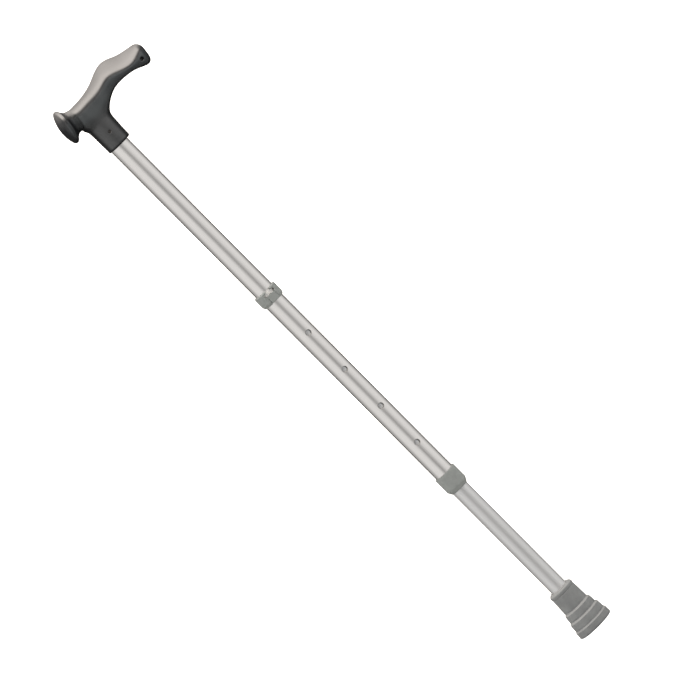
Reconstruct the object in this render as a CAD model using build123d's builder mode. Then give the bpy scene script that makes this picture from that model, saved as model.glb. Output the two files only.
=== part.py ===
"""Height-adjustable walking stick with an anatomic handle, one STEP file per piece.

Millimetres. Z is up along the stick and the origin is the centre of the ferrule's
ground face. The handle's nose points along +X; the setting holes and the thumb pad
face -Y. Plane.XZ has its normal along -Y, so its offsets and extrusions run to -Y.
"""
from build123d import *
import os
import math

os.makedirs("parts", exist_ok=True)

# ---------------------------------------------------------------- shared dimensions
# "_R" is a radius, "_D" a diameter, "_BOTTOM" and "_TOP" are heights on Z.

SEAT_GAP = 0.05               # gap between pieces that bear on each other
FERRULE_FLOOR = 7.8           # bottom of the ferrule's bore
WASHER_BOTTOM = FERRULE_FLOOR + SEAT_GAP
WASHER_TOP = WASHER_BOTTOM + 1.5

# tubes
OUTER_R = 11.0
OUTER_BORE_R = 9.58
OUTER_BOTTOM = 207.0
OUTER_TOP = 728.0             # inside the handle
INNER_R = 9.5
INNER_BORE_R = 8.3
INNER_BOTTOM = WASHER_TOP + SEAT_GAP
INNER_TOP = 500.0
TUBE_CHAMFER = 0.3
CUT_DEPTH = 2 * OUTER_R       # from the axis to well outside either tube

# height setting
HOLE_PITCH = 52.2
HOLE_COUNT = 5
BUTTON_Z = 471.0              # snap button and top setting hole
HOLE_R = 3.0
BUTTON_R = 2.85
FLANGE_IN, FLANGE_OUT = 6.3, 7.1   # faces of the button's flange, from the axis
BUTTON_TIP = 11.3             # end of the button's head, from the axis

# handle pin
PIN_Z = 704.0
PIN_HOLE_R = 1.5

# threaded sleeve
SLEEVE_R = 11.7


# ---------------------------------------------------------------- helpers
def save(part, name):
    """Label a piece and write its STEP file."""
    part.label = name
    export_step(part, f"parts/{name}.step")


def tube(radius, bore_radius, bottom, top, edge_chamfer):
    """Round tube on Z with all its end edges chamfered."""
    with BuildPart() as body:
        with BuildSketch(Plane.XY.offset(bottom)):
            Circle(radius)
            Circle(bore_radius, mode=Mode.SUBTRACT)
        extrude(amount=top - bottom)
        chamfer(body.edges().filter_by(GeomType.CIRCLE), edge_chamfer)
    return body.part


def turned(profile):
    """Solid of revolution about Z from a closed outline of (radius, z) points."""
    with BuildPart() as body:
        with BuildSketch(Plane.XZ):
            with BuildLine():
                Polyline(*profile, close=True)
            make_face()
        revolve(axis=Axis.Z)
    return body.part


# ---------------------------------------------------------------- outer tube
# Setting holes on the -Y side and a cross hole for the handle pin.
outer_blank = tube(OUTER_R, OUTER_BORE_R, OUTER_BOTTOM, OUTER_TOP, TUBE_CHAMFER)

with BuildPart() as outer_tube:
    add(outer_blank)
    with BuildSketch(Plane.XZ):
        with Locations(*[(0, BUTTON_Z - i * HOLE_PITCH) for i in range(HOLE_COUNT)]):
            Circle(HOLE_R)
    extrude(amount=CUT_DEPTH, mode=Mode.SUBTRACT)
    with BuildSketch(Plane.XZ):
        with Locations((0, PIN_Z)):
            Circle(PIN_HOLE_R)
    extrude(amount=CUT_DEPTH, both=True, mode=Mode.SUBTRACT)
save(outer_tube.part, "outer_tube")

# ---------------------------------------------------------------- inner tube
# Carries the ferrule below and the snap button near its top.
BUTTON_CLEARANCE = 0.1        # on the radius
inner_blank = tube(INNER_R, INNER_BORE_R, INNER_BOTTOM, INNER_TOP, TUBE_CHAMFER)

with BuildPart() as inner_tube:
    add(inner_blank)
    with BuildSketch(Plane.XZ):
        with Locations((0, BUTTON_Z)):
            Circle(BUTTON_R + BUTTON_CLEARANCE)
    extrude(amount=CUT_DEPTH, mode=Mode.SUBTRACT)
save(inner_tube.part, "inner_tube")

# ---------------------------------------------------------------- snap button
# Rounded head, and a flange that stops it inside the inner tube.
FLANGE_R = 3.9
CROWN_FILLET = 1.1

with BuildPart() as snap_button:
    with BuildSketch(Plane.XZ.offset(FLANGE_IN)):
        with Locations((0, BUTTON_Z)):
            Circle(FLANGE_R)
    extrude(amount=FLANGE_OUT - FLANGE_IN)
    with BuildSketch(Plane.XZ.offset(FLANGE_OUT)):
        with Locations((0, BUTTON_Z)):
            Circle(BUTTON_R)
    extrude(amount=BUTTON_TIP - FLANGE_OUT)
    crown = snap_button.edges().filter_by(GeomType.CIRCLE).sort_by(Axis.Y)[0]
    fillet(crown, CROWN_FILLET)
save(snap_button.part, "snap_button")

# ---------------------------------------------------------------- leaf spring
# Two legs joined by a bend above the button: the near leg is behind the button,
# the far leg is towards the +Y wall of the inner tube.
LEAF_WIDTH, LEAF_THICK = 8.0, 0.5
NEAR_OUT = SEAT_GAP - FLANGE_IN          # Y of the near leg's faces
NEAR_IN = NEAR_OUT + LEAF_THICK
FAR_OUT = 7.05                           # Y of the far leg's faces
FAR_IN = FAR_OUT - LEAF_THICK
NEAR_BOTTOM, NEAR_TOP = 459.0, 477.5     # straight length of each leg
FAR_BOTTOM, FAR_TOP = 458.0, 476.0
BEND_Y, BEND_TOP = 0.4, 493.75
BEND_TANGENTS = [(0, 1), (0, -1)]

with BuildPart() as button_spring:
    with BuildSketch(Plane.YZ):
        with BuildLine():
            Line((NEAR_OUT, NEAR_BOTTOM), (NEAR_OUT, NEAR_TOP))
            Spline((NEAR_OUT, NEAR_TOP), (BEND_Y, BEND_TOP), (FAR_OUT, FAR_TOP),
                   tangents=BEND_TANGENTS)
            Line((FAR_OUT, FAR_TOP), (FAR_OUT, FAR_BOTTOM))
            Line((FAR_OUT, FAR_BOTTOM), (FAR_IN, FAR_BOTTOM))
            Line((FAR_IN, FAR_BOTTOM), (FAR_IN, FAR_TOP))
            Spline((FAR_IN, FAR_TOP), (BEND_Y, BEND_TOP - LEAF_THICK), (NEAR_IN, NEAR_TOP),
                   tangents=[(0, 1), (0, -1)])
            Line((NEAR_IN, NEAR_TOP), (NEAR_IN, NEAR_BOTTOM))
            Line((NEAR_IN, NEAR_BOTTOM), (NEAR_OUT, NEAR_BOTTOM))
        make_face()
    extrude(amount=LEAF_WIDTH / 2, both=True)
save(button_spring.part, "button_spring")

# ---------------------------------------------------------------- lock clip
# Collar round the outer tube. On its -Y side an upside-down T window, open at the
# upper edge, runs into the thumb pad's slot, open at the lower edge.
CLIP_BOTTOM, CLIP_TOP = 464.6, 479.7
CLIP_R = 13.5
CLIP_BORE_R = OUTER_R + 0.06
PAD_WIDTH = 10.0
# centre z, width, height
CLIP_CUTS = (
    (478.0, 6.6, 6.0),                   # stem of the T
    (475.65, 13.2, 3.1),                 # bar of the T
    (469.05, PAD_WIDTH + 0.5, 10.3),     # pad slot
)
clip_blank = turned((
    (CLIP_BORE_R, CLIP_BOTTOM), (11.9, CLIP_BOTTOM), (CLIP_R, 467.7),
    (CLIP_R, 478.6), (12.7, CLIP_TOP), (CLIP_BORE_R, CLIP_TOP),
))

with BuildPart() as lock_clip:
    add(clip_blank)
    with BuildSketch(Plane.XZ):
        for z, width, height in CLIP_CUTS:
            with Locations((0, z)):
                Rectangle(width, height)
    extrude(amount=CLIP_R + 2, mode=Mode.SUBTRACT)
save(lock_clip.part, "lock_clip")

# ---------------------------------------------------------------- thumb pad
# Curved pad a little proud of the clip, with a peg inside that bears on the button.
PAD_BOTTOM, PAD_TOP = 465.0, 474.0
PAD_OUT_R, PAD_IN_R = 14.0, 12.9
PAD_CUT_DEPTH = 12.0          # box along Y that keeps only the -Y arc of the ring
PAD_CORNER, PAD_EDGE = 1.0, 0.4
PEG_R, PEG_LENGTH = 1.8, 2.0

with BuildPart() as thumb_pad:
    with BuildSketch(Plane.XY.offset(PAD_BOTTOM)):
        Circle(PAD_OUT_R)
        Circle(PAD_IN_R, mode=Mode.SUBTRACT)
        with Locations((0, -PAD_OUT_R)):
            Rectangle(PAD_WIDTH, PAD_CUT_DEPTH, mode=Mode.INTERSECT)
    extrude(amount=PAD_TOP - PAD_BOTTOM)
    corners = thumb_pad.edges().filter_by(Axis.Y)
    fillet(corners, PAD_CORNER)
    rim = thumb_pad.faces().sort_by(Axis.Y)[0].edges()
    fillet(rim, PAD_EDGE)
    with BuildSketch(Plane.XZ.offset(BUTTON_TIP + SEAT_GAP)):
        with Locations((0, BUTTON_Z)):
            Circle(PEG_R)
    extrude(amount=PEG_LENGTH)
save(thumb_pad.part, "thumb_pad")

# ---------------------------------------------------------------- threaded sleeve
# Plain thin sleeve on the lower end of the outer tube, which the nut screws on.
SLEEVE_BOTTOM = OUTER_BOTTOM + 0.3
SLEEVE_LENGTH = 12.4
SLEEVE_CHAMFER = 0.3

with BuildPart() as thread_sleeve:
    with BuildSketch(Plane.XY.offset(SLEEVE_BOTTOM)):
        Circle(SLEEVE_R)
        Circle(OUTER_R, mode=Mode.SUBTRACT)
    extrude(amount=SLEEVE_LENGTH)
    outer_edges = thread_sleeve.edges().filter_by(GeomType.CIRCLE).sort_by(SortBy.RADIUS)[-2:]
    chamfer(outer_edges, SLEEVE_CHAMFER)
save(thread_sleeve.part, "thread_sleeve")

# ---------------------------------------------------------------- wedge ring
# Ring with a cone, split on +X, that the nut squeezes on to the inner tube.
WEDGE_BORE_R = INNER_R + 0.06
WEDGE_R = 11.55
WEDGE_BOTTOM, WEDGE_TOP = 200.3, OUTER_BOTTOM - 0.1
SPLIT_X, SPLIT_DEPTH, SPLIT_WIDTH = 10.5, 4.0, 1.6
SPLIT_BOTTOM, SPLIT_HEIGHT = 199.0, 10.0     # overshoots both ends of the ring
wedge_blank = turned((
    (WEDGE_BORE_R, WEDGE_BOTTOM), (10.2, WEDGE_BOTTOM), (WEDGE_R, 204.3),
    (WEDGE_R, WEDGE_TOP), (WEDGE_BORE_R, WEDGE_TOP),
))

with BuildPart() as wedge_ring:
    add(wedge_blank)
    with BuildSketch(Plane.XY.offset(SPLIT_BOTTOM)):
        with Locations((SPLIT_X, 0)):
            Rectangle(SPLIT_DEPTH, SPLIT_WIDTH)
    extrude(amount=SPLIT_HEIGHT, mode=Mode.SUBTRACT)
save(wedge_ring.part, "wedge_ring")

# ---------------------------------------------------------------- lock nut
# Plain outside with a long chamfer below, and a cone inside.
NUT_BOTTOM, NUT_TOP = 197.5, 219.9
NUT_R = 12.7
NUT_BORE_R = SLEEVE_R + 0.05
NUT_MOUTH_R = INNER_R + 0.25

save(turned((
    (NUT_MOUTH_R, NUT_BOTTOM), (10.1, NUT_BOTTOM), (NUT_R, 202.2), (NUT_R, 219.4),
    (12.3, NUT_TOP), (NUT_BORE_R, NUT_TOP), (NUT_BORE_R, 204.7),
    (10.28, 200.2), (NUT_MOUTH_R, 199.9),
)), "lock_nut")

# ---------------------------------------------------------------- ferrule
# Foot with a lipped top, three stepped tiers that widen downwards, and concentric
# tread grooves in a flat ground face.
FERRULE_TOP = 53.9
FERRULE_BORE_R = INNER_R + 0.02
BASE_R, BASE_CHAMFER = 20.8, 0.8
LEDGE_RISE = 2.0              # height of the slope above each tier
# bottom z of the slope, radius below it, radius above it
LEDGES = ((7.3, 20.5, 19.5), (17.4, 18.9, 17.3), (27.2, 16.6, 14.9))
GROOVE_RADII = (7.0, 12.0, 17.0)
GROOVE_HALF_WIDTH, GROOVE_DEPTH = 0.8, 1.4

ledge_points = []
for z, radius_below, radius_above in LEDGES:
    ledge_points += [(radius_below, z), (radius_above, z + LEDGE_RISE)]
ferrule_blank = turned((
    (0, 0), (BASE_R - BASE_CHAMFER, 0), (BASE_R, BASE_CHAMFER),
    *ledge_points,
    (14.2, 47.6), (14.45, 48.6), (14.45, 51.2), (13.3, 53.0), (11.9, FERRULE_TOP),
    (FERRULE_BORE_R, FERRULE_TOP), (FERRULE_BORE_R, FERRULE_FLOOR), (0, FERRULE_FLOOR),
))

with BuildPart() as ferrule:
    add(ferrule_blank)
    with BuildSketch(Plane.XY):
        for radius in GROOVE_RADII:
            Circle(radius + GROOVE_HALF_WIDTH)
            Circle(radius - GROOVE_HALF_WIDTH, mode=Mode.SUBTRACT)
    extrude(amount=GROOVE_DEPTH, mode=Mode.SUBTRACT)
save(ferrule.part, "ferrule")

# ---------------------------------------------------------------- washer
# Disc at the bottom of the ferrule's bore that the inner tube stands on.
WASHER_R, WASHER_HOLE_R, WASHER_CHAMFER = 9.3, 2.5, 0.2

save(tube(WASHER_R, WASHER_HOLE_R, WASHER_BOTTOM, WASHER_TOP, WASHER_CHAMFER),
     "ferrule_washer")

# ---------------------------------------------------------------- handle
# Grip lofted along X, neck lofted along Z and flaring into the grip, tilted pommel
# disc behind, strap hole across the nose, socket for the outer tube from below and
# a cross hole for the pin.
NECK_BOTTOM = 686.9
SOCKET_R = OUTER_R + 0.04
SOCKET_TOP = OUTER_TOP + 0.3
SOCKET_OVERSHOOT = 1.0        # the cut starts this far below the neck
STRAP_X, STRAP_Z, STRAP_R = 76.4, 732.0, 2.0
CROSS_CUT = 30.0              # reach of the cross holes each way from the axis
NOSE_FILLET, MOUTH_FILLET = 1.5, 1.2
RIM_X, RIM_Z = -26.6, 737.4   # centre of the pommel disc's rim
RIM_R = 19.4
RIM_TILT = 7.6                # degrees; top of the disc leans towards the nose
# The palm rest leans down to -Y; taper thins a section towards -Y while its
# underside stays level (before the twist).
# x, centre z, half height, half width, twist in degrees, taper
GRIP = (
    (-19.0, 735.9, 11.6, 10.6, 0.0, 0.0),
    (-13.0, 733.1, 13.9, 14.0, 6.0, 0.0),
    (1.0, 731.8, 15.2, 15.1, 8.0, 0.0),
    (14.0, 733.3, 14.7, 15.6, 10.0, 0.02),
    (25.0, 738.1, 12.1, 15.8, 13.0, 0.04),
    (35.0, 742.2, 11.2, 15.8, 15.0, 0.08),
    (45.0, 743.2, 10.6, 15.8, 16.0, 0.22),
    (55.0, 741.7, 9.1, 15.8, 18.0, 0.30),
    (65.0, 739.0, 8.5, 15.4, 18.5, 0.23),
    (74.0, 736.6, 10.7, 14.4, 16.0, 0.11),
    (81.0, 735.3, 12.3, 12.9, 12.0, 0.03),
    (86.8, 735.0, 9.0, 9.8, 8.0, 0.0),
)
SECTION_POWER = 2.7           # how square a section is: 2 is an ellipse
SECTION_POINTS = 16
# z, centre x, half length along X, half width along Y
NECK = (
    (NECK_BOTTOM, 1.2, 13.85, 13.8),
    (697.0, 1.25, 14.1, 14.0),
    (707.0, 1.4, 14.4, 14.2),
    (716.0, 1.8, 15.2, 14.3),
    (721.5, 2.6, 17.1, 14.3),
    (726.0, 4.0, 20.2, 13.8),
    (730.0, 7.2, 24.4, 12.4),
    (734.0, 11.0, 29.0, 10.0),
)


def grip_points(centre_z, half_height, half_width, twist, taper):
    """Points round one rounded grip section, in (Y, Z)."""
    points = []
    cos_twist = math.cos(math.radians(twist))
    sin_twist = math.sin(math.radians(twist))
    for i in range(SECTION_POINTS):
        angle = math.radians(360 / SECTION_POINTS * i)
        cosine, sine = math.cos(angle), math.sin(angle)
        y = half_width * math.copysign(abs(cosine) ** (2 / SECTION_POWER), cosine)
        z = half_height * math.copysign(abs(sine) ** (2 / SECTION_POWER), sine)
        z = z * (1 + taper * y / half_width) + taper * half_height * y / half_width
        points.append((y * cos_twist - z * sin_twist,
                       centre_z + y * sin_twist + z * cos_twist))
    return points


# The pommel is turned about X with its domed face to +X and its stub to -X; the
# handle turns it round so that the dome faces -X.
DOME_X = 5.6
STUB_X, STUB_R = -10.5, 12.4

with BuildPart() as pommel:
    with BuildSketch(Plane.XY):
        with BuildLine():
            Spline((DOME_X, 0), (4.7, 9.2), (2.5, 15.8), (1.2, 18.6),
                   tangents=[(0, 1), (-0.6, 1)])
            ThreePointArc((1.2, 18.6), (-0.4, RIM_R), (-2.4, 18.8))
            Spline((-2.4, 18.8), (-4.4, 16.0), (-7.0, 13.8), (STUB_X, STUB_R),
                   tangents=[(-0.6, -1), (-1, -0.2)])
            Polyline((STUB_X, STUB_R), (STUB_X, 0), (DOME_X, 0))
        make_face()
    revolve(axis=Axis.X)

with BuildPart() as handle:
    for x, *section in GRIP:
        with BuildSketch(Plane.YZ.offset(x)):
            with BuildLine():
                Spline(*grip_points(*section), periodic=True)
            make_face()
    loft()
    for z, centre_x, half_length, half_width in NECK:
        with BuildSketch(Plane.XY.offset(z)):
            with Locations((centre_x, 0)):
                Ellipse(half_length, half_width)
    loft()
    add(Pos(RIM_X, 0, RIM_Z) * (Rot(0, RIM_TILT, 0) * (Rot(0, 0, 180) * pommel.part)))
    nose = handle.faces().sort_by(Axis.X)[-1].edges()
    fillet(nose, NOSE_FILLET)
    mouth = handle.faces().sort_by(Axis.Z)[0].edges()
    fillet(mouth, MOUTH_FILLET)
    with BuildSketch(Plane.XY.offset(NECK_BOTTOM - SOCKET_OVERSHOOT)):
        Circle(SOCKET_R)
    extrude(amount=SOCKET_TOP - NECK_BOTTOM + SOCKET_OVERSHOOT, mode=Mode.SUBTRACT)
    with BuildSketch(Plane.XZ):
        with Locations((0, PIN_Z)):
            Circle(PIN_HOLE_R)
        with Locations((STRAP_X, STRAP_Z)):
            Circle(STRAP_R)
    extrude(amount=CROSS_CUT, both=True, mode=Mode.SUBTRACT)
save(handle.part, "handle")

# ---------------------------------------------------------------- handle pin
# Cross pin through the handle's neck and the top of the outer tube.
PIN_CLEARANCE = 0.02          # on the radius
PIN_HALF_LENGTH, PIN_CHAMFER = 13.9, 0.3

with BuildPart() as handle_pin:
    with BuildSketch(Plane.XZ):
        with Locations((0, PIN_Z)):
            Circle(PIN_HOLE_R - PIN_CLEARANCE)
    extrude(amount=PIN_HALF_LENGTH, both=True)
    chamfer(handle_pin.edges().filter_by(GeomType.CIRCLE), PIN_CHAMFER)
save(handle_pin.part, "handle_pin")
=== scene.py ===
# A telescopic walking cane, upright along Z with the middle of its foot at the origin.
# The handle's grip runs along X: its nose points to +X, its round pommel to -X.
# The snap button, its clip and the row of tube holes face -Y, where the camera is.
# The bodies are "upper" (handle, outer tube), "lower" (inner tube, clip, ferrule),
# "button" (thumb pad) and "nut" (lock nut).
import bpy
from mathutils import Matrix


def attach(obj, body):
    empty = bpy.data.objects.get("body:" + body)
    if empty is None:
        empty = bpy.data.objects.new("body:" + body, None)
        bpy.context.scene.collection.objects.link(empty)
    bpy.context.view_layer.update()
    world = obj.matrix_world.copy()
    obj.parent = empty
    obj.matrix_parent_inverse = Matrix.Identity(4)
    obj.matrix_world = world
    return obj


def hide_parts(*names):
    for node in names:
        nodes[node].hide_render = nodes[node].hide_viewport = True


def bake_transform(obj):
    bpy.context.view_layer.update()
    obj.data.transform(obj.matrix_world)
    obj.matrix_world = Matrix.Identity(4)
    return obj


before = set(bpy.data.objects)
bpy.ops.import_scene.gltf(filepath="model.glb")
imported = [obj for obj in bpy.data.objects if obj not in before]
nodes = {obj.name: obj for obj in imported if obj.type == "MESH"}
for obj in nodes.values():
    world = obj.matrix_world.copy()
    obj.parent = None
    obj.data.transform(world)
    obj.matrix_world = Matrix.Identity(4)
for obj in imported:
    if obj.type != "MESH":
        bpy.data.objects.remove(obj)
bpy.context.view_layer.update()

import bpy
import math
import numpy as np
from mathutils import Vector, Matrix

# Lengths are in millimetres up to the camera section, and MM turns them into metres.
MM = 0.001

# ------------------------------------------------------- driving dimensions
TUBE_RADIUS, TUBE_BORE = 11.0, 9.58
TUBE_BOTTOM, TUBE_TOP = 207.0, 728.0
INNER_RADIUS, INNER_BORE = 9.5, 8.3
INNER_BOTTOM, INNER_TOP = 9.4, 500.0
BUTTON_Z = 471.0
HOLES = [BUTTON_Z - 52.2 * k for k in range(5)]     # heights of the outer tube's holes
HOLE_RADIUS, INNER_HOLE_RADIUS = 3.0, 2.95


# ------------------------------------------------------------- mesh helpers
def new_object(name, points, faces):
    """A linked mesh object from points in metres."""
    mesh = bpy.data.meshes.new(name)
    mesh.from_pydata(points, [], faces)
    mesh.validate()
    mesh.update()
    part = bpy.data.objects.new(name, mesh)
    bpy.context.scene.collection.objects.link(part)
    return part


def add_part(name, body, slot, shape, *materials):
    """A smooth closed piece in place of a CAD node, riding on a body, faces turned outwards."""
    points = np.asarray(shape[0], float)
    faces = [list(map(int, face)) for face in shape[1]]
    fans = np.array([(f[0], f[k], f[k + 1]) for f in faces for k in range(1, len(f) - 1)])
    if (points[fans[:, 0]] * np.cross(points[fans[:, 1]], points[fans[:, 2]])).sum() < 0:
        faces = [face[::-1] for face in faces]
    part = new_object(name, (points * MM).tolist(), faces)
    for face in part.data.polygons:
        face.use_smooth = True
    for material in materials:
        part.data.materials.append(material)
    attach(part, body)
    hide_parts(slot)
    return part


def use_second_material(part, test):
    """Gives the second material to faces whose centre (mm) and normal pass the test."""
    for face in part.data.polygons:
        if test(face.center / MM, face.normal):
            face.material_index = 1


def curve(xs, ys):
    """Natural cubic spline through (xs, ys), as a function held constant past its ends."""
    count = len(xs)
    gap = np.diff(xs)
    system = np.zeros((count, count))
    load = np.zeros(count)
    system[0, 0] = system[-1, -1] = 1
    for i in range(1, count - 1):
        system[i, i - 1:i + 2] = gap[i - 1], 2 * (gap[i - 1] + gap[i]), gap[i]
        load[i] = 6 * ((ys[i + 1] - ys[i]) / gap[i] - (ys[i] - ys[i - 1]) / gap[i - 1])
    bend = np.linalg.solve(system, load)

    def value(x):
        x = np.clip(x, xs[0], xs[-1])
        i = np.clip(np.searchsorted(xs, x) - 1, 0, count - 2)
        before, after = xs[i + 1] - x, x - xs[i]
        return (bend[i] * before**3 + bend[i + 1] * after**3) / (6 * gap[i]) + (
            ys[i] / gap[i] - bend[i] * gap[i] / 6) * before + (
            ys[i + 1] / gap[i] - bend[i + 1] * gap[i] / 6) * after
    return value


# Fields are signed distances in mm, negative inside.
def smooth_min(first, second, blend):
    """Joins two fields with a fillet."""
    share = np.clip(0.5 + 0.5 * (second - first) / blend, 0, 1)
    return second * (1 - share) + first * share - blend * share * (1 - share)


def smooth_max(first, second, blend):
    """Overlap of two fields with an eased edge."""
    return -smooth_min(-first, -second, blend)


def round_overlap(first, second, radius):
    """Overlap of two fields at right angles, its edges rounded to a radius."""
    first, second = first + radius, second + radius
    outside = np.hypot(np.maximum(first, 0), np.maximum(second, 0))
    return outside + np.minimum(np.maximum(first, second), 0) - radius


def rectangle(x, z, middle_z, half_width, half_height, radius):
    """Field of a rectangle centred on x = 0, with rounded corners."""
    return round_overlap(np.abs(x) - half_width, np.abs(z - middle_z) - half_height, radius)


def polygon_field(px, py, corners):
    """Field of a closed polygon."""
    corners = np.asarray(corners, float)
    nearest = np.full(px.shape, 1e9)
    inside = np.zeros(px.shape, bool)
    for i in range(len(corners)):
        (ax, ay), (bx, by) = corners[i - 1], corners[i]
        ex, ey = bx - ax, by - ay
        wx, wy = px - ax, py - ay
        along = np.clip((wx * ex + wy * ey) / (ex * ex + ey * ey), 0, 1)
        nearest = np.minimum(nearest, (wx - along * ex) ** 2 + (wy - along * ey) ** 2)
        inside ^= ((ay > py) != (by > py)) & (px < ex * (py - ay) / (ey or 1e-12) + ax)
    return np.where(inside, -1, 1) * np.sqrt(nearest)


def gradient(field, points, reach=0.02):
    slope = np.zeros_like(points)
    for axis, offset in enumerate(np.eye(3) * reach):
        ahead, behind = field(*(points + offset).T), field(*(points - offset).T)
        slope[:, axis] = (ahead - behind) / (2 * reach)
    return slope


def skin(field, low, high, step):
    """Closed quad mesh of the surface field = 0 in a box, each vertex pulled onto the surface."""
    lines = [np.arange(start, end + step, step) for start, end in zip(low, high)]
    grid = np.meshgrid(*lines, indexing="ij")
    value = field(*(axis.ravel() for axis in grid)).reshape(grid[0].shape)
    inside = value < 0
    cells = np.array(value.shape) - 1
    total = np.zeros((*cells, 3))
    count = np.zeros(cells)
    corner = np.stack(np.indices(cells), -1).astype(float)

    def block(offset):
        return tuple(slice(k, k + n) for k, n in zip(offset, cells))

    # a cell's vertex is the mean of the places where the surface crosses its edges
    for axis in range(3):
        one, two = [k for k in range(3) if k != axis]
        for u in (0, 1):
            for v in (0, 1):
                start = np.zeros(3, int)
                start[one], start[two] = u, v
                end = start.copy()
                end[axis] += 1
                near, far = block(start), block(end)
                hit = inside[near] != inside[far]
                drop = np.where(hit, value[near] - value[far], 1)
                place = corner + start
                place[..., axis] += np.where(hit, value[near] / drop, 0)
                total += np.where(hit[..., None], place, 0)
                count += hit
    live = count > 0
    index = np.full(cells, -1)
    index[live] = np.arange(live.sum())
    verts = total[live] / count[live][:, None] * step + np.array([line[0] for line in lines])

    # a grid edge that crosses the surface gives a quad between the four cells round it
    faces = []
    for axis in range(3):
        one, two = [k for k in range(3) if k != axis]
        here = [slice(1, n) for n in cells]
        here[axis] = slice(0, cells[axis])
        beyond = list(here)
        beyond[axis] = slice(1, cells[axis] + 1)
        first, second = inside[tuple(here)], inside[tuple(beyond)]
        crossed = first != second
        shift = np.array([1, 1, 1])
        shift[axis] = 0
        cell = np.argwhere(crossed) + shift
        quad = []
        for u, v in ((-1, -1), (0, -1), (0, 0), (-1, 0)):
            beside = cell.copy()
            beside[:, one] += u
            beside[:, two] += v
            quad.append(index[tuple(beside.T)])
        quad = np.stack(quad, 1)
        turned = first[crossed] if axis == 1 else ~first[crossed]
        quad[turned] = quad[turned][:, ::-1]
        faces.append(quad)

    for _ in range(4):
        distance = field(*verts.T)
        slope = gradient(field, verts)
        move = -distance[:, None] * slope / np.maximum((slope**2).sum(1), 0.05)[:, None]
        length = np.linalg.norm(move, axis=1, keepdims=True)
        verts = verts + move * np.minimum(1, 0.5 * step / np.maximum(length, 1e-9))
    return verts, np.concatenate(faces)


def lathe(outline, segments, shift=lambda r, z, angle: (r, z)):
    """Revolves a closed (r, z) outline about Z. A point at r = 0 becomes one vertex."""
    verts, rings, faces = [], [], []
    for r, z in outline:
        if r <= 1e-9:
            rings.append([len(verts)] * segments)
            verts.append((0, 0, z))
            continue
        rings.append(list(range(len(verts), len(verts) + segments)))
        for k in range(segments):
            angle = 2 * math.pi * k / segments
            radius, height = shift(r, z, angle)
            verts.append((radius * math.cos(angle), radius * math.sin(angle), height))
    for i, ring in enumerate(rings):
        last = rings[i - 1]
        for k in range(segments):
            m = (k + 1) % segments
            face = list(dict.fromkeys([last[k], last[m], ring[m], ring[k]]))
            if len(face) >= 3:
                faces.append(face)
    return verts, faces


def rounded(table, steps):
    """Rounds the corners of a closed outline of (r, z, corner radius)."""
    outline = []
    corners = [np.array(row[:2], float) for row in table]
    for i, corner in enumerate(corners):
        radius = table[i][2]
        back, ahead = corners[i - 1] - corner, corners[(i + 1) % len(corners)] - corner
        back_length, ahead_length = np.linalg.norm(back), np.linalg.norm(ahead)
        back, ahead = back / back_length, ahead / ahead_length
        angle = math.acos(max(-1, min(1, float(back @ ahead))))
        if radius <= 0 or angle > math.pi - 0.05:
            outline.append(tuple(corner))
            continue
        cut = min(radius / math.tan(angle / 2), 0.45 * back_length, 0.45 * ahead_length)
        start, end = corner + back * cut, corner + ahead * cut
        for k in range(steps + 1):
            w = k / steps
            outline.append(tuple((1 - w) ** 2 * start + 2 * w * (1 - w) * corner + w * w * end))
    return outline


# --------------------------------------------------------- material helpers
def feed(node, inputs):
    """Fills a node's inputs: a socket is linked, a tuple is an opaque colour."""
    for key, value in inputs.items() if isinstance(inputs, dict) else enumerate(inputs):
        if isinstance(value, bpy.types.NodeSocket):
            node.id_data.links.new(value, node.inputs[key])
        else:
            node.inputs[key].default_value = (*value, 1) if isinstance(value, tuple) else value


def add_node(tree, kind, inputs=(), **settings):
    node = tree.nodes.new("ShaderNode" + kind)
    for key, value in settings.items():
        setattr(node, key, value)
    feed(node, inputs)
    return node


def new_material(name):
    """A material with one principled shader; returns both."""
    material = bpy.data.materials.new(name)
    material.use_nodes = True
    tree = material.node_tree
    tree.nodes.clear()
    output = add_node(tree, "OutputMaterial")
    shader = add_node(tree, "BsdfPrincipled")
    feed(output, [shader.outputs[0]])
    return material, shader


def principled(material):
    return next(n for n in material.node_tree.nodes if n.type == "BSDF_PRINCIPLED")


def source(shader, key):
    """The socket that now feeds an input."""
    return shader.inputs[key].links[0].from_socket


def coords(tree, scale=(1, 1, 1)):
    """Object coordinates in millimetres, times scale."""
    place = add_node(tree, "TexCoord").outputs["Object"]
    scale = [1000 * s for s in scale]
    return add_node(tree, "Mapping", {"Vector": place, "Scale": scale}).outputs[0]


def position(tree):
    """The surface point's x, y and z in mm, in the rest pose."""
    return add_node(tree, "SeparateXYZ", [coords(tree)]).outputs


def normal_z(tree, kind):
    """How far the surface faces up, from one of the geometry node's normals."""
    normal = add_node(tree, "NewGeometry").outputs[kind]
    return add_node(tree, "SeparateXYZ", [normal]).outputs["Z"]


def noise(place, scale, detail=3.0, roughness=0.6):
    return add_node(place.id_data, "TexNoise", {
        "Vector": place, "Scale": scale, "Detail": detail, "Roughness": roughness}).outputs["Fac"]


def ramp(fac, stops):
    """A colour ramp of (position, colour)."""
    node = add_node(fac.id_data, "ValToRGB", [fac])
    elements = node.color_ramp.elements
    while len(elements) > 1:
        elements.remove(elements[-1])
    elements[0].position, elements[0].color = stops[0][0], (*stops[0][1], 1)
    for place, colour in stops[1:]:
        elements.new(place).color = (*colour, 1)
    return node.outputs[0]


def grey_ramp(fac, stops):
    return ramp(fac, [(place, (value,) * 3) for place, value in stops])


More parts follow.
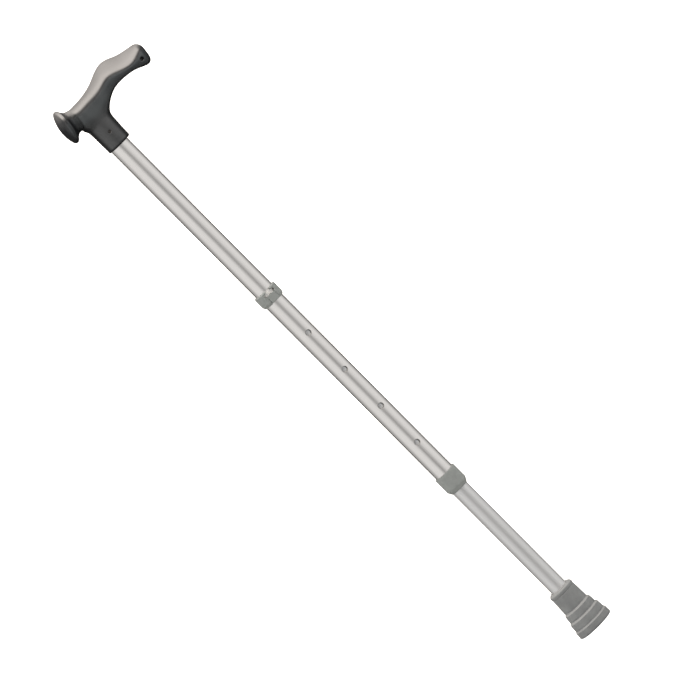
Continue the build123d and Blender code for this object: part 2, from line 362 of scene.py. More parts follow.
def remap(fac, to=(0.0, 1.0), over=(0.3, 0.7), **settings):
    """Maps the range `over` onto the range `to`, clamped."""
    return add_node(fac.id_data, "MapRange", {
        "Value": fac, "From Min": over[0], "From Max": over[1],
        "To Min": to[0], "To Max": to[1]}, **settings).outputs[0]


def math_node(operation, *values):
    return add_node(values[0].id_data, "Math", values, operation=operation).outputs[0]


def add(*pair):
    return math_node("ADD", *pair)


def multiply(*pair):
    return math_node("MULTIPLY", *pair)


def larger(*pair):
    return math_node("MAXIMUM", *pair)


def mix_colour(fac, low, high):
    return add_node(fac.id_data, "Mix", {0: fac, 6: low, 7: high}, data_type="RGBA").outputs[2]


def bump(height, strength, depth_mm, **more):
    return add_node(height.id_data, "Bump", {
        "Height": height, "Strength": strength, "Distance": depth_mm * MM, **more}).outputs[0]


# ---------------------------------------------------------------- materials
def plastic(name, dark, light, roughness, grain_mm=0.5, grain=0.2, blotch_mm=6.0,
            specular=0.4, coat=0.0):
    """Moulded plastic: two close tones, a fine moulded grain and uneven gloss."""
    material, shader = new_material(name)
    place = coords(shader.id_data)
    blotch = noise(place, scale=1.0 / blotch_mm)
    fine = noise(place, scale=1.0 / grain_mm)
    feed(shader, {
        "Base Color": ramp(blotch, [(0.3, dark), (0.7, light)]),
        "Roughness": add(remap(blotch, to=(-0.04, 0.04)),
                         remap(fine, to=(roughness - 0.03, roughness + 0.03))),
        "Specular IOR Level": specular,
        "Coat Weight": coat,
        "Coat Roughness": 0.36,
        "Normal": bump(fine, strength=grain, depth_mm=0.05)})
    return material


def metal(name, tone, roughness, streak=0.3):
    """Drawn and anodised aluminium, or steel: long fine streaks along Z and dark specks."""
    material, shader = new_material(name)
    tree = shader.id_data
    fine = noise(coords(tree, scale=(3.2, 3.2, 0.05)), scale=1.0, detail=4.0)
    wide = noise(coords(tree, scale=(0.35, 0.35, 0.012)), scale=1.0, roughness=0.5)
    speck = noise(coords(tree), scale=2.6, detail=2.0, roughness=0.5)
    streaked = mix_colour(remap(wide), tuple(x * 0.965 for x in tone), tone)
    specked = mix_colour(remap(speck, to=(0.0, 0.05), over=(0.55, 0.75)),
                         streaked, tuple(x * 0.6 for x in tone))
    feed(shader, {
        "Base Color": specked,
        "Metallic": 1.0,
        "Roughness": add(remap(fine, to=(roughness - 0.035, roughness + 0.035)),
                         remap(wide, to=(-0.02, 0.02)))})
    streaks = bump(fine, strength=streak, depth_mm=0.012)
    feed(shader, {"Normal": bump(speck, strength=0.12, depth_mm=0.01, Normal=streaks)})
    return material


def rubber(name):
    """Dark rubber, with painted light on faces that look up: they are paler, as if lit from
    above.
    """
    material, shader = new_material(name)
    tree = shader.id_data
    place = coords(tree)
    blotch = noise(place, scale=1 / 9.0, detail=4.0)
    fine = noise(place, scale=1 / 0.45, roughness=0.65)
    tone = ramp(blotch, [(0.3, (0.093, 0.101, 0.106)), (0.7, (0.122, 0.132, 0.137))])
    # painted light: faces that look up get a paler colour
    painted_top_light = remap(normal_z(tree, "True Normal"), over=(0.25, 0.8))
    feed(shader, {
        "Base Color": mix_colour(multiply(painted_top_light, 0.55), tone, (0.182, 0.188, 0.190)),
        "Roughness": remap(fine, to=(0.55, 0.72)),
        "Specular IOR Level": 0.4,
        "Normal": bump(fine, strength=0.3, depth_mm=0.05)})
    return material


HANDLE = plastic("handle_plastic", dark=(0.012, 0.0135, 0.0155), light=(0.019, 0.0205, 0.0225),
                 roughness=0.40, grain_mm=0.55, blotch_mm=18.0, specular=0.9, coat=0.45)
GREY = plastic("grey_plastic", dark=(0.128, 0.143, 0.143), light=(0.150, 0.166, 0.166),
               roughness=0.48, grain=0.25)
SLEEVE = plastic("sleeve_plastic", dark=(0.16, 0.17, 0.165), light=(0.20, 0.21, 0.20),
                 roughness=0.5)
WEDGE = plastic("wedge_plastic", dark=(0.50, 0.50, 0.48), light=(0.58, 0.58, 0.55),
                roughness=0.5)
TUBE = metal("anodised_tube", tone=(0.825, 0.800, 0.775), roughness=0.24, streak=0.25)
TUBE_LOW = metal("anodised_tube_low", tone=(0.770, 0.770, 0.765), roughness=0.44)
# dark metal: painted shade on the walls and rims of the tube holes
HOLE_SHADE = metal("hole_shade_metal", tone=(0.23, 0.225, 0.22), roughness=0.62, streak=0.4)
STEEL = metal("plated_steel", tone=(0.56, 0.56, 0.57), roughness=0.3, streak=0.2)
DARK_PIN = metal("pin_steel", tone=(0.075, 0.070, 0.066), roughness=0.55, streak=0.2)
RUBBER = rubber("ferrule_rubber")
# pale plastic: painted light on the end walls of the clip's window
PALE = plastic("painted_light_plastic", dark=(0.42, 0.43, 0.42), light=(0.52, 0.53, 0.51),
               roughness=0.6, grain=0.3, blotch_mm=3.0, specular=0.3)


def paint_handle_shade(material):
    """Painted shade on the handle: gloss muted and colour darkened where it turns away from view
    and round the neck's mouth, gloss muted on the pommel, the nose and a band below the top, and
    a painted reflection tint on the sides.
    """
    shader = principled(material)
    tree = shader.id_data
    facing = add_node(tree, "LayerWeight", {"Blend": 0.5}).outputs["Facing"]
    up = normal_z(tree, "Normal")
    top = remap(up, over=(0.05, 0.30))
    x, _, z = position(tree)
    # painted shade for dark outlines: faces turned to the viewer lose little gloss, nor do upward
    # ones
    neck = remap(z, to=(1.0, 0.0), over=(716.0, 728.0))
    turned = add(facing, multiply(neck, 0.12))
    # painted shade: a dark band round the neck's mouth
    mouth = remap(z, to=(0.10, 1.0), over=(688.0, 690.0))
    face = multiply(remap(turned, to=(1.0, 0.14), over=(0.32, 0.55)), mouth)
    face = larger(face, top)
    # painted shade on the pommel: its dome keeps some gloss, its waist the least
    dome = remap(x, to=(0.52, 0.28), over=(-25.5, -22.5))
    back_end = larger(dome, remap(x, over=(-19.0, -11.0)))
    back_end = larger(back_end, remap(z, over=(741.0, 747.0)))
    gloss = multiply(face, back_end)
    # painted highlight and shade: more gloss away from the neck, less on it
    gloss = multiply(gloss, remap(neck, to=(1.16, 0.88), over=(0.0, 1.0)))
    # painted shade: a dark band on faces that look slightly upwards, below the top's highlight
    band = multiply(remap(up, over=(0.15, 0.27)), remap(up, to=(1.0, 0.0), over=(0.34, 0.52)))
    gloss = multiply(gloss, remap(band, to=(1.0, 0.45), over=(0.0, 1.0)))
    # painted shade on the nose below the grip's top
    nose = multiply(remap(x, over=(79.6, 82.2)), remap(z, to=(1.0, 0.0), over=(743.0, 746.0)))
    gloss = multiply(gloss, remap(nose, to=(1.0, 0.22), over=(0.0, 1.0)))
    # painted reflection colour: cool on the sides, warm on the top and neck
    plain = larger(top, multiply(neck, 0.8))
    feed(shader, {
        "Specular Tint": mix_colour(plain, (0.88, 0.98, 1.0), (1.0, 0.99, 0.98)),
        "Specular IOR Level": multiply(gloss, 0.9),
        "Coat Weight": multiply(gloss, 0.45)})
    # painted shade: the colour darkens where the outlines and the neck's mouth lose gloss
    tone = source(shader, "Base Color")
    darkness = remap(face, to=(0.6, 0.0), over=(0.17, 1.0))
    feed(shader, {"Base Color": mix_colour(darkness, tone, (0.003, 0.003, 0.0035))})


def rub_and_light_tube(material):
    """A small patch under the clip's window is rubbed matt and painted pale, as painted light in
    the window's shade.
    """
    shader = principled(material)
    x, y, z = position(shader.id_data)
    patch = multiply(remap(z, over=(471.0, 473.8)), remap(z, to=(1.0, 0.0), over=(478.4, 480.2)))
    patch = multiply(patch, remap(math_node("ABSOLUTE", x), to=(1.0, 0.0), over=(6.4, 8.6)))
    patch = multiply(patch, remap(y, to=(1.0, 0.0), over=(-6.0, -3.0)))
    feed(shader, {"Roughness": add(source(shader, "Roughness"), multiply(patch, 0.36))})
    # painted light: the patch's colour is lifted to a pale tone
    tone = source(shader, "Base Color")
    feed(shader, {"Base Color": mix_colour(patch, tone, (0.90, 0.89, 0.87))})


paint_handle_shade(HANDLE)
rub_and_light_tube(TUBE)


# ------------------------------------------------------------------- handle
# Grip sections: x, middle z, half height, half width, lean about X in degrees,
# and how much the top rises towards +Y, as a share of half the rise at the edge.
GRIP = np.array([
    (-19.0, 735.9, 11.6, 10.6, 0.0, 0.0),
    (-13.0, 733.1, 13.9, 14.0, 6.0, 0.0),
    (1.0, 731.8, 15.2, 15.1, 8.0, 0.0),
    (14.0, 733.3, 14.7, 15.6, 10.0, 0.02),
    (25.0, 738.1, 12.1, 15.8, 13.0, 0.04),
    (35.0, 742.2, 11.2, 15.8, 15.0, 0.08),
    (45.0, 743.2, 10.6, 15.8, 16.0, 0.22),
    (55.0, 741.7, 9.1, 15.8, 18.0, 0.30),
    (65.0, 739.0, 8.5, 15.4, 18.5, 0.23),
    (74.0, 736.6, 10.7, 14.4, 16.0, 0.11),
    (81.0, 735.3, 12.3, 12.9, 12.0, 0.03),
    (88.6, 734.7, 12.4, 11.9, 8.0, 0.0),
])
GRIP_POWER = 2.7        # superellipse power of the grip's sections
# Neck sections: z, middle x, half size along x, half size along y.
NECK = np.array([
    (680.0, 1.18, 13.75, 13.7),
    (686.9, 1.2, 13.85, 13.8),
    (697.0, 1.25, 14.1, 14.0),
    (707.0, 1.4, 14.4, 14.2),
    (716.0, 1.8, 15.2, 14.3),
    (721.5, 2.6, 17.1, 14.3),
    (726.0, 4.0, 20.2, 13.8),
    (730.0, 7.2, 24.4, 12.4),
    (734.0, 11.0, 29.0, 10.0),
])
MOUTH_Z = 686.9         # bottom of the neck
# The pommel is turned about an axis through its rim, tilted from X.
RIM_X, RIM_Z = -26.6, 737.4
TILT = math.radians(7.6)
# Pommel outline: distance from the rim towards -X, radius.
POMMEL = [
    (5.6, 0.0), (5.5, 3.0), (5.2, 6.0), (4.65, 9.3), (3.8, 12.6), (2.75, 15.5), (1.75, 17.8),
    (0.9, 19.0), (-0.3, 19.42), (-1.6, 19.25), (-2.5, 18.55), (-3.6, 16.95), (-5.0, 15.2),
    (-6.8, 13.6), (-9.0, 12.7), (-11.5, 12.3), (-13.5, 11.8), (-16.0, 9.8), (-18.5, 6.0),
    (-18.5, 0.0)]
POMMEL_LOOP = POMMEL + [(along, -radius) for along, radius in POMMEL[::-1] if radius > 0]
PIN_Z, PIN_RADIUS, PIN_DEPTH_Y = 704.0, 1.5, 9.0        # cross hole, open beyond this |y|
NOSE_X, NOSE_Z, NOSE_SLANT = 86.85, 737.0, 0.10         # slanted end of the grip
STRAP_X, STRAP_Z, STRAP_RADIUS = 76.4, 732.0, 2.0       # hole along Y near the nose

grip_middle, grip_height, grip_width, grip_lean, grip_rise = (
    curve(GRIP[:, 0], GRIP[:, k]) for k in range(1, 6))
neck_middle, neck_x, neck_y = (curve(NECK[:, 0], NECK[:, k]) for k in range(1, 4))


def grip_field(x, y, z):
    x = np.clip(x, -14.0, 88.0)
    lean = np.radians(grip_lean(x))
    lift = z - grip_middle(x)
    width, height, rise = grip_width(x), grip_height(x), grip_rise(x)
    u = (y * np.cos(lean) + lift * np.sin(lean)) / width
    thick = np.maximum(1 + rise * u, 0.2)
    v = ((-y * np.sin(lean) + lift * np.cos(lean)) / height - rise * u) / thick
    size_u, size_v = np.abs(u) + 1e-6, np.abs(v) + 1e-6
    radius = (size_u**GRIP_POWER + size_v**GRIP_POWER) ** (1 / GRIP_POWER)
    slope_u = np.sign(u) * size_u ** (GRIP_POWER - 1)
    slope_v = np.sign(v) * size_v ** (GRIP_POWER - 1)
    slope = radius ** (1 - GRIP_POWER) * np.hypot(
        slope_u / width - slope_v * rise * (1 + v) / (thick * width),
        slope_v / (height * thick))
    return (radius - 1) / np.maximum(slope, 0.02)


def neck_field(x, y, z):
    half_x, half_y = neck_x(z), neck_y(z)
    x = x - neck_middle(z)
    radius = np.sqrt((x / half_x) ** 2 + (y / half_y) ** 2) + 1e-6
    slope = np.hypot(x / half_x**2, y / half_y**2) / radius
    flare = neck_x(z + 0.5) - neck_x(z - 0.5)
    wall = (radius - 1) / np.maximum(slope, 0.02) / np.sqrt(1 + np.maximum(flare, 0) ** 2)
    return smooth_max(wall, z - 735.0, 4.0)


def pommel_field(x, y, z):
    dx, dz = x - RIM_X, z - RIM_Z
    along = dz * math.sin(TILT) - dx * math.cos(TILT)
    across = dz * math.cos(TILT) + dx * math.sin(TILT)
    return polygon_field(along, np.hypot(across, y), POMMEL_LOOP)


def handle_field(x, y, z):
    nose = (x - NOSE_X) * math.cos(NOSE_SLANT) - (z - NOSE_Z) * math.sin(NOSE_SLANT)
    solid = smooth_max(grip_field(x, y, z), nose, 7.5)
    solid = smooth_max(solid, -(x + 14.6), 3.2)
    solid = smooth_min(solid, neck_field(x, y, z), 4.5)
    solid = smooth_min(solid, pommel_field(x, y, z), 1.6)
    solid = smooth_max(solid, MOUTH_Z - z, 1.3)
    bore = np.maximum(np.hypot(x, y) - (TUBE_RADIUS + 0.05), z - (TUBE_TOP + 0.3))
    solid = smooth_max(solid, -bore, 0.5)
    pin = np.hypot(x, z - PIN_Z) - PIN_RADIUS
    solid = smooth_max(solid, -np.maximum(pin, PIN_DEPTH_Y - np.abs(y)), 0.15)
    strap = np.hypot(x - STRAP_X, z - STRAP_Z) - STRAP_RADIUS
    return smooth_max(solid, -strap, 0.8)


add_part("handle_grip", "upper", "handle",
         skin(handle_field, (-35.5, -21, 685.5), (91, 21, 762), 0.6), HANDLE)

# -------------------------------------------------------------------- tubes
TUBE_SIDES = 96
TUBE_ROW = 6.0          # height of a row of facets, about
TUBE_EASE = 0.3         # bevel at the tube's ends
HOLE_LIP = 0.22         # rounding of a hole's rim
PATCH = 7               # a hole sits in a square patch of twice this many facets


def drilled_tube(outer, inner, bottom, top, holes, hole_radius):
    """A tube along Z with round holes through its -Y wall, all edges eased."""
    turn = 2 * math.pi / TUBE_SIDES
    front = TUBE_SIDES * 3 // 4         # the column that faces -Y
    size = 2 * PATCH
    verts, faces = [], []

    def add_ring(points):
        verts.extend(points)
        return list(range(len(verts) - len(points), len(verts)))

    def circle(radius, z):
        return add_ring([(radius * math.cos(k * turn), radius * math.sin(k * turn), z)
                         for k in range(TUBE_SIDES)])

    def add_face(face, reverse):
        faces.append(face[::-1] if reverse else face)

    def join(first, second, reverse=False):
        for k in range(len(first)):
            m = (k + 1) % len(first)
            add_face([first[k], first[m], second[m], second[k]], reverse)

    heights = [bottom + TUBE_EASE]

    def rise_to(height):
        count = max(1, int(round((height - heights[-1]) / TUBE_ROW)))
        heights.extend(np.linspace(heights[-1], height, count + 1)[1:])

    patches = []                        # (first row, hole height)
    for hole_z in sorted(holes):
        low, high = hole_z - PATCH * outer * turn, hole_z + PATCH * outer * turn
        rise_to(low)
        patches.append((len(heights) - 1, hole_z))
        heights.extend(np.linspace(low, high, size + 1)[1:])
    rise_to(top - TUBE_EASE)

    gone = {(i, k) for row, _ in patches for i in range(row, row + size)
            for k in range(front - PATCH, front + PATCH)}
    walls = []
    for side, radius in enumerate((outer, inner)):
        rows = [circle(radius, z) for z in heights]
        walls.append(rows)
        for i in range(len(rows) - 1):
            for k in range(TUBE_SIDES):
                if (i, k) not in gone:
                    m = (k + 1) % TUBE_SIDES
                    add_face([rows[i][k], rows[i][m], rows[i + 1][m], rows[i + 1][k]], side)

    def patch_edge(rows, row):
        """The vertices round a missing square, in order."""
        left, right = front - PATCH, front + PATCH
        edge = [(row, left + k) for k in range(size)]
        edge += [(row + k, right) for k in range(size)]
        edge += [(row + size, right - k) for k in range(size)]
        edge += [(row + size - k, left) for k in range(size)]
        return [rows[i][k] for i, k in edge]

    count = 4 * size
    angles = [-math.pi * 0.75 + 2 * math.pi * i / count for i in range(count)]
    rim = hole_radius + HOLE_LIP
    for row, hole_z in patches:
        rims = []
        for side, radius in enumerate((outer, inner)):
            last = patch_edge(walls[side], row)
            square = [verts[i] for i in last]
            # rings that pass from the square to the hole's rim, on the wall
            for w in (q / 5 for q in range(1, 6)):
                ring = []
                for (x, _, z), angle in zip(square, angles):
                    rim_arc = math.asin(rim * math.cos(angle) / radius)
                    arc = (1 - w) * math.asin(x / radius) + w * rim_arc
                    z = (1 - w) * z + w * (hole_z + rim * math.sin(angle))
                    ring.append((radius * math.sin(arc), -radius * math.cos(arc), z))
                ring = add_ring(ring)
                join(last, ring, side)
                last = ring
            # rings that round the rim over into the hole
            for q in (1, 2, 3):
                bend = q / 3 * math.pi / 2
                reach = rim - HOLE_LIP * math.sin(bend)
                sink = HOLE_LIP * (1 - math.cos(bend)) * (1 if side else -1)
                ring = []
                for angle in angles:
                    x = reach * math.cos(angle)
                    y = -math.sqrt((radius + sink) ** 2 - x * x)
                    ring.append((x, y, hole_z + reach * math.sin(angle)))
                ring = add_ring(ring)
                join(last, ring, side)
                last = ring
            rims.append(last)
        join(*rims)

    for row, z in ((0, bottom), (-1, top)):
        rings = [walls[0][row], circle(outer - TUBE_EASE, z), circle(inner + TUBE_EASE, z),
                 walls[1][row]]
        for first, second in zip(rings, rings[1:]):
            join(first, second, reverse=row == 0)
    return verts, faces


def add_tube(name, body, slot, material, holes, hole_radius, **sizes):
    """A drilled tube whose hole walls and rims get a dark metal as painted shade."""
    shape = drilled_tube(holes=holes, hole_radius=hole_radius, **sizes)
    tube = add_part(name, body, slot, shape, material, HOLE_SHADE)
    use_second_material(tube, lambda centre, normal: centre.y < 0 and any(
        math.hypot(centre.x, centre.z - z) < hole_radius + 0.27 for z in holes))


add_tube("outer_tube_shell", "upper", "outer_tube", TUBE, HOLES, HOLE_RADIUS,
         outer=TUBE_RADIUS, inner=TUBE_BORE, bottom=TUBE_BOTTOM, top=TUBE_TOP)
add_tube("inner_tube_shell", "lower", "inner_tube", TUBE_LOW, [BUTTON_Z], INNER_HOLE_RADIUS,
         outer=INNER_RADIUS, inner=INNER_BORE, bottom=INNER_BOTTOM, top=INNER_TOP)

# ----------------------------------------------------- clip, pad and lock nut
CLIP_EASE = 0.35
CLIP_INNER, CLIP_OUTER = 11.06, 13.5
CLIP_BOTTOM, CLIP_TOP = 464.6, 479.7
# Clip section, (r, z), drawn inside its rounding.
CLIP_SECTION = [
    (CLIP_INNER + CLIP_EASE, CLIP_BOTTOM + CLIP_EASE), (11.9 - 0.1, CLIP_BOTTOM + CLIP_EASE),
    (CLIP_OUTER - CLIP_EASE, 467.8), (CLIP_OUTER - CLIP_EASE, 478.5),
    (12.7 - 0.15, CLIP_TOP - CLIP_EASE), (CLIP_INNER + CLIP_EASE, CLIP_TOP - CLIP_EASE)]
PAD_EASE = 0.4
PAD_RADIUS, PAD_HALF_THICK = 13.45, 0.55        # the pad is curved about the tube's axis


def clip_field(x, y, z):
    ring = polygon_field(np.hypot(x, y), z, CLIP_SECTION) - CLIP_EASE
    # openings in the -Y wall: a top slot, a wide window, and room for the pad
    cut = rectangle(x, z, 480.3, 3.3, 5.2, 0.3)
    cut = smooth_min(cut, rectangle(x, z, 475.65, 6.6, 1.55, 0.4), 0.4)
    cut = np.minimum(cut, rectangle(x, z, 468.8, 5.25, 5.4, 0.3))
    return smooth_max(ring, -np.maximum(cut, y), 0.35)


def pad_field(x, y, z):
    shell = np.abs(np.hypot(x, y) - PAD_RADIUS) - PAD_HALF_THICK
    slab = round_overlap(shell, rectangle(x, z, 469.5, 5.0, 4.5, 1.0), PAD_EASE)
    slab = np.where(y < 0, slab, 5.0)
    peg = np.maximum(np.hypot(x, z - BUTTON_Z) - 1.8, np.abs(y + 12.35) - 1.0)
    return smooth_min(slab, peg, 0.4)


clip = add_part("lock_clip_ring", "lower", "lock_clip",
                skin(clip_field, (-14.3, -14.3, 463.8), (14.3, 14.3, 480.5), 0.33), GREY, PALE)
# painted light: the end walls of the wide window get a pale plastic
use_second_material(clip, lambda centre, normal: (
    centre.y < 0 and 5.6 < abs(centre.x) < 7.0 and 474.0 < centre.z < 477.4
    and normal.x * centre.x < -0.5 * abs(centre.x)))
add_part("thumb_pad_shell", "button", "thumb_pad",
         skin(pad_field, (-5.8, -14.8, 464.0), (5.8, -10.6, 475.2), 0.22), GREY)

# Lock nut outline: r, z, corner radius.
NUT = [
    (9.75, 197.5, 0.1), (10.1, 197.5, 0.15), (12.7, 202.2, 1.2), (12.7, 219.9, 0.5),
    (11.75, 219.9, 0.15), (11.75, 204.7, 0.2), (10.28, 200.2, 0.2), (9.75, 199.9, 0.1)]
add_part("lock_nut_shell", "nut", "lock_nut", lathe(rounded(NUT, 5), 128), GREY)

# ------------------------------------------------------------ thread sleeve
THREAD_PITCH, THREAD_DEPTH = 2.0, 0.34
SLEEVE_LINE = [(11.0, 207.3), (11.4, 207.3), (11.7, 207.6)]
SLEEVE_LINE += [(11.7, 207.6 + 0.2 * k) for k in range(1, 60)]
SLEEVE_LINE += [(11.4, 219.7), (11.0, 219.7)]


def thread(r, z, angle):
    """Sinks the sleeve's outer wall into a V-shaped thread."""
    if r > 11.5 and 208.0 < z < 219.2:
        phase = (z / THREAD_PITCH - angle / (2 * math.pi)) % 1.0
        r -= THREAD_DEPTH * (1 - abs(2 * phase - 1))
    return r, z


add_part("thread_sleeve_shell", "upper", "thread_sleeve", lathe(SLEEVE_LINE, 96, thread), SLEEVE)

# ------------------------------------------------------------------ ferrule
# Side, top and socket of the ferrule: r, z, corner radius.
FERRULE_SIDE = [
    (20.0, 0.0, 0.4), (20.8, 0.8, 0.5), (20.5, 7.5, 0.4),
    (19.45, 8.9, 0.2), (19.25, 9.4, 0.2), (19.45, 10.4, 0.4), (18.9, 17.4, 0.4),
    (17.25, 19.1, 0.2), (17.0, 19.7, 0.2), (17.2, 20.7, 0.4), (16.6, 27.2, 0.4),
    (14.95, 28.9, 0.2), (14.7, 29.5, 0.2), (14.85, 30.5, 0.4), (14.25, 46.9, 0.4),
    (13.9, 47.9, 0.25), (14.5, 48.9, 0.35), (14.5, 51.2, 0.8), (13.5, 52.6, 0.35),
    (12.9, 52.6, 0.25), (12.3, 53.5, 0.35), (11.4, 53.9, 0.5), (10.4, 53.7, 0.4),
    (9.52, 52.9, 0.1), (9.52, 7.8, 0.1), (0.0, 7.8, 0)]
foot = [(0.0, 0.0, 0)]
for groove in (7.0, 12.0, 17.0):        # radii of the ring grooves in the sole
    foot += [(groove + reach, depth, 0.25)
             for reach, depth in ((-0.8, 0.0), (-0.55, 1.4), (0.55, 1.4), (0.8, 0.0))]
add_part("ferrule_shell", "lower", "ferrule", lathe(rounded(foot + FERRULE_SIDE, 4), 128), RUBBER)

# -------------------------------------------------------------- leaf spring
# A folded strip: the -Y leg carries the button, the +Y leg rests on the inner
# tube's far wall, so in the cane it bends when the button goes in; this mesh keeps its rest
# shape.
SPRING_FRONT_Y, SPRING_BACK_Y = -6.0, 6.8
SPRING_FRONT_TOP, SPRING_BACK_TOP, SPRING_PEAK = 477.5, 476.0, 493.5
SPRING_HALF_WIDTH, SPRING_HALF_THICK = 3.98, 0.25


def leaf_spring():
    """Sweeps an eight-sided section along the strip's path in the YZ plane."""
    front = [(SPRING_FRONT_Y, z) for z in np.linspace(459.1, SPRING_FRONT_TOP, 12)]
    back = [(SPRING_BACK_Y, z) for z in np.linspace(SPRING_BACK_TOP, 458.1, 12)]
    arch = []
    for k in range(1, 40):
        angle = math.pi * k / 40
        low = SPRING_FRONT_TOP + (SPRING_BACK_TOP - SPRING_FRONT_TOP) * (1 - math.cos(angle)) / 2
        arch.append((0.4 - 6.4 * math.cos(angle),
                     low + (SPRING_PEAK - low) * math.sin(angle) ** 0.9))
    path = np.array(front + arch + back)
    ahead = np.gradient(path, axis=0)
    ahead /= np.linalg.norm(ahead, axis=1)[:, None]
    outward = np.stack([ahead[:, 1], -ahead[:, 0]], 1)
    thick = SPRING_HALF_THICK
    verts, faces = [], []
    for i, (spot, way) in enumerate(zip(path, outward)):
        from_end = min(i, len(path) - 1 - i)
        wide = SPRING_HALF_WIDTH - {0: 0.5, 1: 0.15}.get(from_end, 0.0)     # rounded ends
        flat = wide - 0.12
        for x, off in ((-flat, -thick), (flat, -thick), (wide, -0.13), (wide, 0.13),
                       (flat, thick), (-flat, thick), (-wide, 0.13), (-wide, -0.13)):
            verts.append((x, spot[0] + way[0] * off, spot[1] + way[1] * off))
    for start in range(0, len(verts) - 8, 8):
        for k in range(8):
            a, b = start + k, start + (k + 1) % 8
            faces.append((a, b, b + 8, a + 8))
    faces.append(tuple(range(7, -1, -1)))
    faces.append(tuple(range(len(verts) - 8, len(verts))))
    return verts, faces


verts, faces = leaf_spring()
spring = new_object("leaf_spring_strip", (np.asarray(verts, float) * MM).tolist(), faces)
for face in spring.data.polygons:
    face.use_smooth = len(face.vertices) == 4       # the end caps stay flat
spring.data.materials.append(STEEL)
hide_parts("button_spring")
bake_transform(spring)


# ----------------------------------------------------- materials on CAD nodes
def dress(name, material):
    mesh = nodes[name].data
    mesh.materials.clear()
    mesh.materials.append(material)
    return mesh


# these keep their CAD geometry
for name, material in (("handle_pin", DARK_PIN), ("snap_button", STEEL),
                       ("wedge_ring", WEDGE), ("ferrule_washer", STEEL)):
    mesh = dress(name, material)
    for face in mesh.polygons:
        face.use_smooth = True
    mesh.update()
# the pieces above stand for these
for name, material in (("handle", HANDLE), ("button_spring", STEEL), ("outer_tube", TUBE),
                       ("inner_tube", TUBE_LOW), ("lock_clip", GREY), ("thumb_pad", GREY),
                       ("lock_nut", GREY), ("thread_sleeve", SLEEVE), ("ferrule", RUBBER)):
    dress(name, material)

# ------------------------------------------------------------------- camera
# From here on lengths are in metres.
AZIMUTH, ELEVATION = math.radians(-12.0), math.radians(6.0)
ROLL_ALONG, ROLL_ACROSS = 0.70974, 0.70446      # the camera is rolled by about 45 degrees
DISTANCE = 8.0
VIEW_WIDTH = 0.7064                             # seen at the target's distance
SENSOR = 36.0                                   # mm

back = Vector((math.sin(AZIMUTH) * math.cos(ELEVATION),
               -math.cos(AZIMUTH) * math.cos(ELEVATION), math.sin(ELEVATION)))
right = Vector((math.cos(AZIMUTH), math.sin(AZIMUTH), 0))
up = back.cross(right)
image_x = right * ROLL_ALONG - up * ROLL_ACROSS
image_y = right * ROLL_ACROSS + up * ROLL_ALONG
target = Vector((0, 0, 0.3755)) + right * 0.0195
lens = bpy.data.cameras.new("camera")
camera = bpy.data.objects.new("camera", lens)
bpy.context.scene.collection.objects.link(camera)
camera.matrix_world = Matrix([
    (image_x[k], image_y[k], back[k], target[k] + back[k] * DISTANCE) for k in range(3)
] + [(0, 0, 0, 1)])
lens.sensor_width = SENSOR
lens.lens = SENSOR * DISTANCE / VIEW_WIDTH
lens.clip_end = 100.0
bpy.context.scene.camera = camera


# -------------------------------------------------------------------- floor
def floor_disc(radius, rings, segments):
    """A flat disc whose rings crowd towards the middle."""
    verts, faces = [(0, 0, 0)], []
    for i in range(1, rings + 1):
        r = radius * (i / rings) ** 2
        for k in range(segments):
            angle = 2 * math.pi * k / segments
            verts.append((r * math.cos(angle), r * math.sin(angle), 0))
    for k in range(segments):
        faces.append((0, 1 + k, 1 + (k + 1) % segments))
    for i in range(rings - 1):
        for k in range(segments):
            m = (k + 1) % segments
            a, b = 1 + i * segments, 1 + (i + 1) * segments
            faces.append((a + k, b + k, b + m, a + m))
    return verts, faces


def floor_paper():
    """Paper that the camera sees near white, and that reflections and nearby rays miss."""
    material, shader = new_material("floor_paper")
    tree = shader.id_data
    output = shader.outputs[0].links[0].to_node
    paper = noise(coords(tree), scale=0.02, roughness=0.5)
    feed(shader, {
        "Base Color": mix_colour(remap(paper), (0.60, 0.60, 0.595), (0.64, 0.64, 0.635)),
        "Roughness": 0.9,
        "Specular IOR Level": 0.1})
    glow = add_node(tree, "Emission", {"Color": (1, 1, 1), "Strength": 0.75})
    matt = add_node(tree, "BsdfDiffuse", {"Color": (0.45, 0.45, 0.45)})
    seen = add_node(tree, "AddShader", [glow.outputs[0], matt.outputs[0]])
    ray = add_node(tree, "LightPath").outputs
    paper_look = add_node(tree, "MixShader", [
        ray["Is Camera Ray"], shader.outputs[0], seen.outputs[0]])
    geometry = add_node(tree, "NewGeometry")
    clear = add_node(tree, "BsdfTransparent")
    hidden = larger(geometry.outputs["Backfacing"], ray["Is Glossy Ray"])
    # short rays pass, so the foot that rests on the floor is not blacked out
    hidden = larger(hidden, remap(ray["Ray Length"], to=(1.0, 0.0), over=(0.0018, 0.0026)))
    feed(output, [add_node(tree, "MixShader", [
        hidden, paper_look.outputs[0], clear.outputs[0]]).outputs[0]])
    return material


floor = new_object("floor", *floor_disc(radius=40.0, rings=10, segments=64))
floor.location = (0, 0, -0.0002)
floor.data.materials.append(floor_paper())

# -------------------------------------------------------------------- world
# A soft white room. Round the horizon the brightness depends on the direction
# seen from the camera: bright softboxes either side, a narrow darker strip
# beside the camera and darkness behind the object. A large warm softbox covers
# the ceiling from overhead to low behind. The camera itself sees plain white.
CEILING = 5.2
FAR, SIDE, GAP = 0.06, 0.80, 0.40
# Degrees round from the camera, towards its right; brightness.
AROUND = [
    (-180, FAR), (-142, FAR), (-128, 0.30), (-112, 0.42), (-94, 0.60), (-80, SIDE), (-50, 0.86),
    (-20, 0.84), (-6, 0.58), (4, GAP), (15, GAP), (26, 0.58), (42, 0.78), (75, 0.86), (94, 0.80),
    (108, 0.56), (126, 0.34), (142, FAR), (180, FAR)]
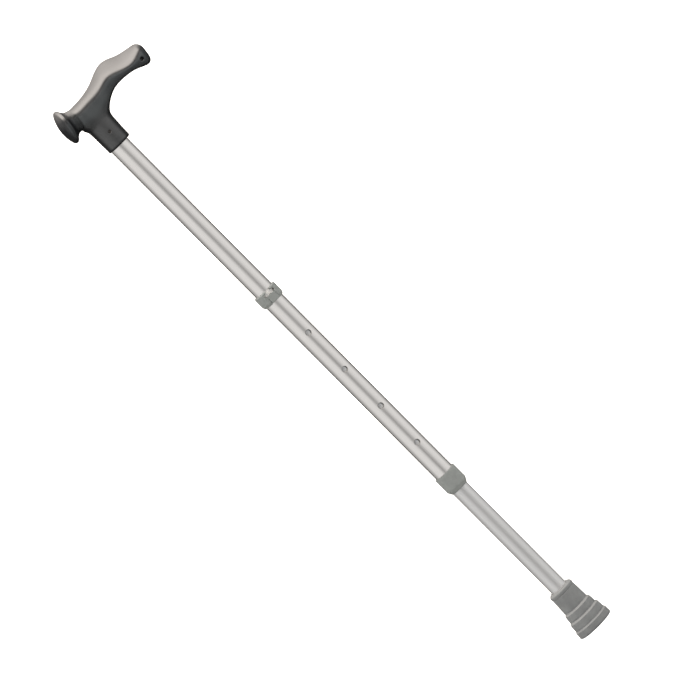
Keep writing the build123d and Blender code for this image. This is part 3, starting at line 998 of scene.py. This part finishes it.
# Height of the direction, -1 to 1; brightness.
HIGH = [
    (-1.0, 0.20), (-0.55, 0.26), (-0.30, 0.70), (-0.18, 1.04), (0.10, 1.04), (0.20, 0.66),
    (0.32, 0.24), (0.44, 0.14), (0.74, 0.14), (0.86, 0.4), (1.0, 0.4)]
# Degrees up from the camera's horizon, over the top and down behind; the
# softbox fades there so that glancing reflections are not burnt out.
ARCH = [
    (0, 0.0), (38, 0.0), (54, 1.0), (84, 0.95), (106, 0.68), (126, 0.40), (146, 0.195),
    (158, 0.115), (168, 0.06), (174, 0.0)]


def studio_world():
    world = bpy.data.worlds.new("studio")
    bpy.context.scene.world = world
    world.use_nodes = True
    tree = world.node_tree
    tree.nodes.clear()
    output = add_node(tree, "OutputWorld")
    direction = add_node(tree, "TexCoord").outputs["Generated"]
    x, y, z = add_node(tree, "SeparateXYZ", [direction]).outputs
    toward = add(multiply(x, math.sin(AZIMUTH)), multiply(y, -math.cos(AZIMUTH)))
    across = add(multiply(x, math.cos(AZIMUTH)), multiply(y, math.sin(AZIMUTH)))
    turn = remap(math_node("ARCTAN2", across, toward), over=(-math.pi, math.pi))
    around = grey_ramp(turn, [((angle + 180.0) / 360.0, value) for angle, value in AROUND])
    high = grey_ramp(remap(z, over=(-1, 1)), [(0.5 + 0.5 * level, v) for level, v in HIGH])
    room = add_node(tree, "Mix", {0: 1.0, 6: around, 7: high},
                    data_type="RGBA", blend_type="MULTIPLY").outputs[2]
    over = math_node("DIVIDE", math_node("ARCTAN2", z, toward), math.pi)
    arch = grey_ramp(over, [(angle / 180, value) for angle, value in ARCH])
    sides = remap(math_node("ABSOLUTE", across), over=(0.93, 0.80),
                  interpolation_type="SMOOTHSTEP")
    softbox = add_node(tree, "Background", {
        "Color": (1.0, 0.93, 0.865), "Strength": multiply(multiply(arch, sides), CEILING)})
    walls = add_node(tree, "Background", {"Color": room})
    light = add_node(tree, "AddShader", [walls.outputs[0], softbox.outputs[0]])
    white = add_node(tree, "Background", {"Color": (1, 1, 1), "Strength": 1.06})
    ray = add_node(tree, "LightPath").outputs
    feed(output, [add_node(tree, "MixShader", [
        ray["Is Camera Ray"], light.outputs[0], white.outputs[0]]).outputs[0]])


studio_world()

view = bpy.context.scene.view_settings
view.view_transform = "Standard"
view.look = "None"
view.exposure = 0.0
view.gamma = 1.0
